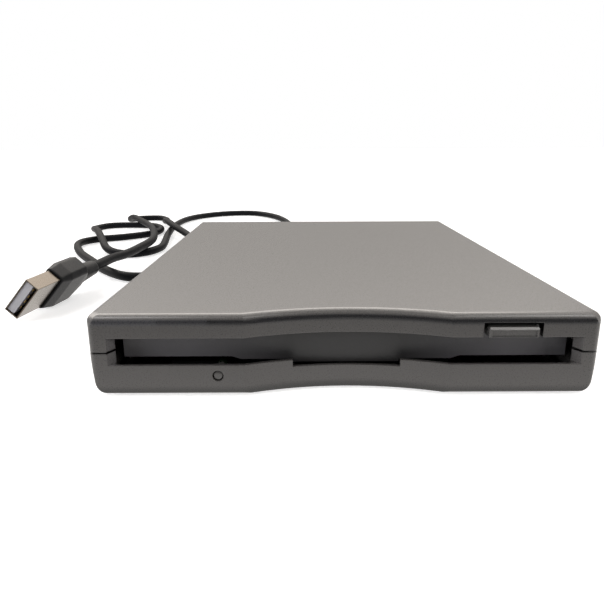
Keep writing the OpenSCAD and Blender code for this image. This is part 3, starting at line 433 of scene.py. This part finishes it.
def makeLead(v):
    route = smoothRoute(leadRoute(v), v["stepsBetween"]) / 1000
    data = bpy.data.curves.new("dataLead", "CURVE")
    data.dimensions = "3D"
    data.bevel_depth = v["radius"] / 1000
    data.bevel_resolution = v["roundness"]
    data.use_fill_caps = True
    spline = data.splines.new("POLY")
    spline.points.add(len(route) - 1)
    spline.points.foreach_set("co", np.hstack([route, np.ones((len(route), 1))]).ravel())
    spline.use_smooth = True
    data.materials.append(materials["leadJacket"])
    lead = addObject("dataLead", data)
    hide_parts("data_lead")


# ---- turned pieces: a profile of (along, radius) goes round the Y or Z axis of each place
sharpBend = 40  # degrees from which the edges of a piece made here stay sharp


def finishPiece(name, mesh, finish, nodeNames):
    mesh.materials.append(materials[finish])
    ob = addObject(name, mesh)
    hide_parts(*nodeNames)
    edges = ob.modifiers.new("sharpEdges", "EDGE_SPLIT")
    edges.split_angle = math.radians(sharpBend)
    return ob


def turnedMesh(name, profile, places, turns, axis="Y"):
    along, radius = np.array(profile).T / 1000
    angle = np.linspace(0, 2 * math.pi, turns, endpoint=False)
    across = radius[:, None] * np.cos(angle)
    up = radius[:, None] * np.sin(angle)
    run = np.repeat(along[:, None], turns, axis=1)
    # order of the axes keeps the faces pointing outwards
    rings = np.stack([across, run, up] if axis == "Y" else [up, across, run], axis=-1).reshape(-1, 3)
    a = np.arange(len(profile) - 1)[:, None] * turns + np.arange(turns)
    b = np.arange(len(profile) - 1)[:, None] * turns + (np.arange(turns) + 1) % turns
    sides = np.stack([a, a + turns, b + turns, b], axis=-1).reshape(-1, 4)
    last = len(rings)
    ends = [list(range(turns)), list(range(last - 1, last - 1 - turns, -1))]
    points, faces = [], []
    for k, place in enumerate(places):
        points.append(rings + np.array(place) / 1000)
        faces += (sides + k * last).tolist() + [[e + k * last for e in end] for end in ends]
    return meshFrom(name, np.concatenate(points), faces)


def turned(name, profile, places, turns, finish, slotName, nodeNames, axis="Y"):
    return finishPiece(name, turnedMesh(name, profile, places, turns, axis), finish, nodeNames)


# ---- indicator lens: a shallow dome on a light pipe with a collar, measured from the front face
lensValues = {
    "place": (-25.9, -71, 4.8),
    "radius": 1.04,
    "dome": 0.3,
    "setBack": 0.12,
    "collar": (2.4, 3.0, 1.7),  # start, end, radius
    "pipe": (5.6, 0.95),  # end, radius
    "turns": 40,
}


def makeLens(v):
    r, front = v["radius"], v["setBack"]
    angle = np.linspace(0.04, 1, 9) * math.pi / 2
    dome = [(front + v["dome"] * (1 - math.cos(t)), r * math.sin(t)) for t in angle]
    start, end, wide = v["collar"]
    back, thin = v["pipe"]
    pipe = [(start, r), (start, wide), (end, wide), (end, thin), (back, thin)]
    turned("lensDome", dome + pipe, [v["place"]], v["turns"], "lensPlastic", "lens", ["indicator_lens"])


makeLens(lensValues)
print("lens made")

# ---- strain relief: ribs along a tapering sleeve, measured from the rear face
reliefValues = {
    "place": (-14, 71, 9.8),
    # from inside the case through its wall to the collar outside
    "root": [
        (-6.6, 1.8), (-3.2, 1.8), (-3.2, 4.1), (-2, 4.1), (-2, 3.2),
        (0, 3.2), (0, 3.9), (1, 3.9), (1.2, 3.7),
    ],
    "sleeveStart": 1.2,
    "rootRadius": 3.2,
    "tipRadius": 2.25,
    "length": 16,
    "tipRound": (0.3, 0.25),
    "ribs": 6,
    "first": 2.4,
    "pitch": 1.9,
    "groove": 0.8,
    "slope": 0.12,
    "depth": 0.45,
    "turns": 48,
}


def makeRelief(v):
    def sleeve(t):  # radius of the sleeve at a distance behind the case
        return v["rootRadius"] + (v["tipRadius"] - v["rootRadius"]) * t / v["length"]

    profile = v["root"] + [(v["sleeveStart"], sleeve(v["sleeveStart"]))]
    for i in range(v["ribs"]):
        start = v["first"] + i * v["pitch"]
        end = start + v["groove"]
        profile += [
            (start, sleeve(start)),
            (start + v["slope"], sleeve(start) - v["depth"]),
            (end - v["slope"], sleeve(end) - v["depth"]),
            (end, sleeve(end)),
        ]
    back, down = v["tipRound"]
    profile += [(v["length"] - back, sleeve(v["length"])), (v["length"], v["tipRadius"] - down)]
    names = ("leadJacket", "lead_jacket", ["strain_relief"])
    return turned("ribbedRelief", profile, [v["place"]], v["turns"], *names)


relief = makeRelief(reliefValues)
print("strain relief made")

# ---- rubber feet: dished discs with a rounded rim
footValues = {
    "places": [(-42, -52, 0), (42, -52, 0), (-42, 50, 0), (42, 50, 0)],
    "radius": 5,
    "height": 1.1,
    "rim": 0.3,
    "dish": 0.2,
    "dishRadius": 3.4,
    "dishSlope": 0.4,
    "centre": 0.2,  # radius of the small flat in the middle
    "turns": 48,
}


def makeFeet(v):
    r, rim = v["radius"], v["rim"]
    angle = np.linspace(0, math.pi / 2, 5)
    corner = [(rim - rim * math.cos(t), r - rim + rim * math.sin(t)) for t in angle]
    dish = [(v["dish"], v["centre"]), (v["dish"], v["dishRadius"] - v["dishSlope"]), (0, v["dishRadius"])]
    profile = dish + corner + [(v["height"], r)]
    turned("dishedFeet", profile, v["places"], v["turns"], "footRubber", "feet", ["rubber_feet"], axis="Z")


makeFeet(footValues)
print("feet made")

# ---- case screws: pan heads with a cross recess, seen from below
screwValues = {
    "places": [(-45.5, 65), (45.5, 65)],
    "headLow": 1.3,
    "headHigh": 2.6,
    "headRadius": 2.0,
    "headRound": (0.25, 0.2),  # inwards and upwards
    "shaftRadius": 1.1,
    "shaftHigh": 13.7,
    "armLength": 1.15,
    "armWidth": 0.32,
    "recess": 0.8,
    "recessTaper": 0.7,
    "turns": 36,
}


def makeScrews(v):
    bm = bmesh.new()

    def ring(place, outline, z, grow=1.0):
        points = [(place[0] + x * grow, place[1] + y * grow, z) for x, y in outline]
        return [bm.verts.new([k / 1000 for k in point]) for point in points]

    def band(a, b):
        for k in range(len(a)):
            m = (k + 1) % len(a)
            bm.faces.new((a[k], a[m], b[m], b[k]))

    w, arm, low = v["armWidth"], v["armLength"], v["headLow"]
    inwards, upwards = v["headRound"]
    cross = [
        (arm, -w), (arm, w), (w, w), (w, arm), (-w, arm), (-w, w),
        (-arm, w), (-arm, -w), (-w, -w), (-w, -arm), (w, -arm), (w, -w),
    ]
    angle = np.linspace(0, 2 * math.pi, v["turns"], endpoint=False)
    circle = list(zip(np.cos(angle), np.sin(angle)))
    for place in v["places"]:
        rim = ring(place, circle, low, v["headRadius"] - inwards)
        side = ring(place, circle, low + upwards, v["headRadius"])
        top = ring(place, circle, v["headHigh"], v["headRadius"])
        neck = ring(place, circle, v["headHigh"], v["shaftRadius"])
        end = ring(place, circle, v["shaftHigh"], v["shaftRadius"])
        mouth = ring(place, cross, low)
        floor = ring(place, cross, low + v["recess"], v["recessTaper"])
        for a, b in ((rim, side), (side, top), (top, neck), (neck, end), (floor, mouth)):
            band(a, b)
        bm.faces.new(end)
        bm.faces.new(list(reversed(floor)))
        pairs = [(loop[k], loop[(k + 1) % len(loop)]) for loop in (rim, mouth) for k in range(len(loop))]
        bmesh.ops.triangle_fill(bm, edges=[bm.edges.get(pair) for pair in pairs], use_beauty=True)
    bmesh.ops.recalc_face_normals(bm, faces=bm.faces[:])
    mesh = bpy.data.meshes.new("crossScrews")
    bm.to_mesh(mesh)
    bm.free()
    finishPiece("crossScrews", mesh, "zincSheet", ["case_screws"])


makeScrews(screwValues)
print("screws made")
makeLead(leadValues)

# ---- stage: a pale floor, a soft room, lamps and cards, with lengths in metres
def addSheet(name, corners):
    sheet = bpy.data.objects.new(name, meshFrom(name, corners, [(0, 1, 2, 3)], smooth=False))
    scene.collection.objects.link(sheet)
    return sheet


def cameraGlow(n, link):
    # one for camera, glossy and transmitted rays, and nothing for the rest
    path = n.new("ShaderNodeLightPath")
    first, both = mathNode(n, "MAXIMUM"), mathNode(n, "MAXIMUM")
    link(path.outputs["Is Camera Ray"], first.inputs[0])
    link(path.outputs["Is Glossy Ray"], first.inputs[1])
    link(first.outputs[0], both.inputs[0])
    link(path.outputs["Is Transmission Ray"], both.inputs[1])
    return both.outputs[0]


floorValues = {
    "half": 4,
    "grey": 0.8,
    "rough": 0.9,
    "glowReach": (0.2, 0.8),  # distances from the middle between which the glow grows
    "glow": (0.6, 1.1),
    "seenReach": (-0.135, -0.08),  # Y between which the glow that reflections see grows
    "seenGlow": (0.6, 1.6),
    "seenTint": (1, 0.97, 0.94),
}


def makeFloor(v):
    h = v["half"]
    floor = addSheet("floor", [(-h, -h, 0), (h, -h, 0), (h, h, 0), (-h, h, 0)])
    mat = bpy.data.materials.new("paleFloor")
    mat.use_nodes = True
    n, link = mat.node_tree.nodes, mat.node_tree.links.new
    shader = n["Principled BSDF"]
    shader.inputs["Base Color"].default_value = (v["grey"], v["grey"], v["grey"], 1)
    shader.inputs["Roughness"].default_value = v["rough"]
    shader.inputs["Emission Color"].default_value = (1, 1, 1, 1)
    place = n.new("ShaderNodeNewGeometry")
    # the glow grows away from the object, so that its shadow stays and the far floor is white
    reach = mathNode(n, "LENGTH", "ShaderNodeVectorMath")
    link(place.outputs["Position"], reach.inputs[0])
    rise = mapNode(n, *v["glowReach"], *v["glow"])
    link(reach.outputs["Value"], rise.inputs["Value"])
    glow = mathNode(n, "MULTIPLY")
    link(cameraGlow(n, link), glow.inputs[0])
    link(rise.outputs["Result"], glow.inputs[1])
    link(glow.outputs[0], shader.inputs["Emission Strength"])
    # reflections see a floor that falls off in front of the object
    parts = n.new("ShaderNodeSeparateXYZ")
    link(place.outputs["Position"], parts.inputs[0])
    fall = mapNode(n, *v["seenReach"], *v["seenGlow"])
    link(parts.outputs["Y"], fall.inputs["Value"])
    seen = n.new("ShaderNodeEmission")
    seen.inputs["Color"].default_value = (*v["seenTint"], 1)
    link(fall.outputs["Result"], seen.inputs["Strength"])
    path = n.new("ShaderNodeLightPath")
    mix = n.new("ShaderNodeMixShader")
    link(path.outputs["Is Glossy Ray"], mix.inputs[0])
    link(shader.outputs[0], mix.inputs[1])
    link(seen.outputs[0], mix.inputs[2])
    link(mix.outputs[0], n["Material Output"].inputs["Surface"])
    floor.data.materials.append(mat)


makeFloor(floorValues)

# the room's own light is weak, but the camera sees it white and reflections see it bright
worldValues = {"glow": 0.2, "tint": (1.1, 1.04, 0.98)}


def makeWorld(v):
    world = bpy.data.worlds.new("softRoom")
    scene.world = world
    world.use_nodes = True
    n, link = world.node_tree.nodes, world.node_tree.links.new
    back = n["Background"]
    path = n.new("ShaderNodeLightPath")
    link(mixColours(n, link, path.outputs["Is Camera Ray"], v["tint"], (1, 1, 1)), back.inputs["Color"])
    level = mapNode(n, toMin=v["glow"])
    link(cameraGlow(n, link), level.inputs["Value"])
    link(level.outputs["Result"], back.inputs["Strength"])


makeWorld(worldValues)

# each lamp has its place, its size, its power in watts, its colour, and whether reflections show it
lampValues = {
    "frontLeftLamp": ((-0.62, -0.5, 0.24), 0.35, 4.2, (0.98, 0.98, 1.0), False),
    "frontRightLamp": ((0.62, -0.5, 0.24), 0.35, 4.2, (1, 0.97, 0.94), False),
    "rightLamp": ((0.44, -0.28, 0.8), 0.3, 1.8, (1, 0.98, 0.96), True),
    "leftLamp": ((-0.38, -0.28, 0.8), 0.3, 2.2, (1, 0.98, 0.98), True),
}


def makeLamps(v):
    for name, (place, size, power, colour, glossy) in v.items():
        lamp = bpy.data.lights.new(name, "AREA")
        lamp.size = size
        lamp.energy = power
        lamp.color = colour
        ob = bpy.data.objects.new(name, lamp)
        scene.collection.objects.link(ob)
        ob.location = place
        ob.rotation_mode = "QUATERNION"
        ob.rotation_quaternion = (-Vector(place)).to_track_quat("-Z", "Y")
        ob.visible_glossy = glossy


makeLamps(lampValues)

# cards that only reflections see: a dark one in front, bright ones behind and above
cardValues = {
    "grey": 0.01,
    "tint": (1.1, 1.04, 0.98),
    "heights": (0.36, 2.2),  # between which the glow of a card grows
    "cards": {  # four corners, the glow at both heights
        "frontCard": ([(-1.6, -1, 0.01), (1.6, -1, 0.01), (1.6, -0.75, 0.5), (-1.6, -0.75, 0.5)], (0, 0)),
        "backCard": ([(-3, 1.6, 0.02), (0.95, 1.6, 0.02), (0.95, 1.6, 2.2), (-3, 1.6, 2.2)], (0.35, 8.8)),
        "topCard": ([(-3, 0.2, 2.2), (3, 0.2, 2.2), (3, 1.6, 2.2), (-3, 1.6, 2.2)], (3, 3)),
    },
}


def makeCards(v):
    for name, (corners, glow) in v["cards"].items():
        card = addSheet(name, corners)
        card.visible_camera = card.visible_diffuse = card.visible_shadow = card.visible_transmission = False
        mat = bpy.data.materials.new(name)
        mat.use_nodes = True
        n, link = mat.node_tree.nodes, mat.node_tree.links.new
        shader = n["Principled BSDF"]
        shader.inputs["Base Color"].default_value = (v["grey"], v["grey"], v["grey"], 1)
        if any(glow):
            place = n.new("ShaderNodeNewGeometry")
            parts = n.new("ShaderNodeSeparateXYZ")
            link(place.outputs["Position"], parts.inputs[0])
            rise = mapNode(n, *v["heights"], *glow)
            link(parts.outputs["Z"], rise.inputs["Value"])
            shader.inputs["Emission Color"].default_value = (*v["tint"], 1)
            link(rise.outputs["Result"], shader.inputs["Emission Strength"])
        card.data.materials.append(mat)


makeCards(cardValues)
scene.view_settings.view_transform = "Standard"
print("stage made")
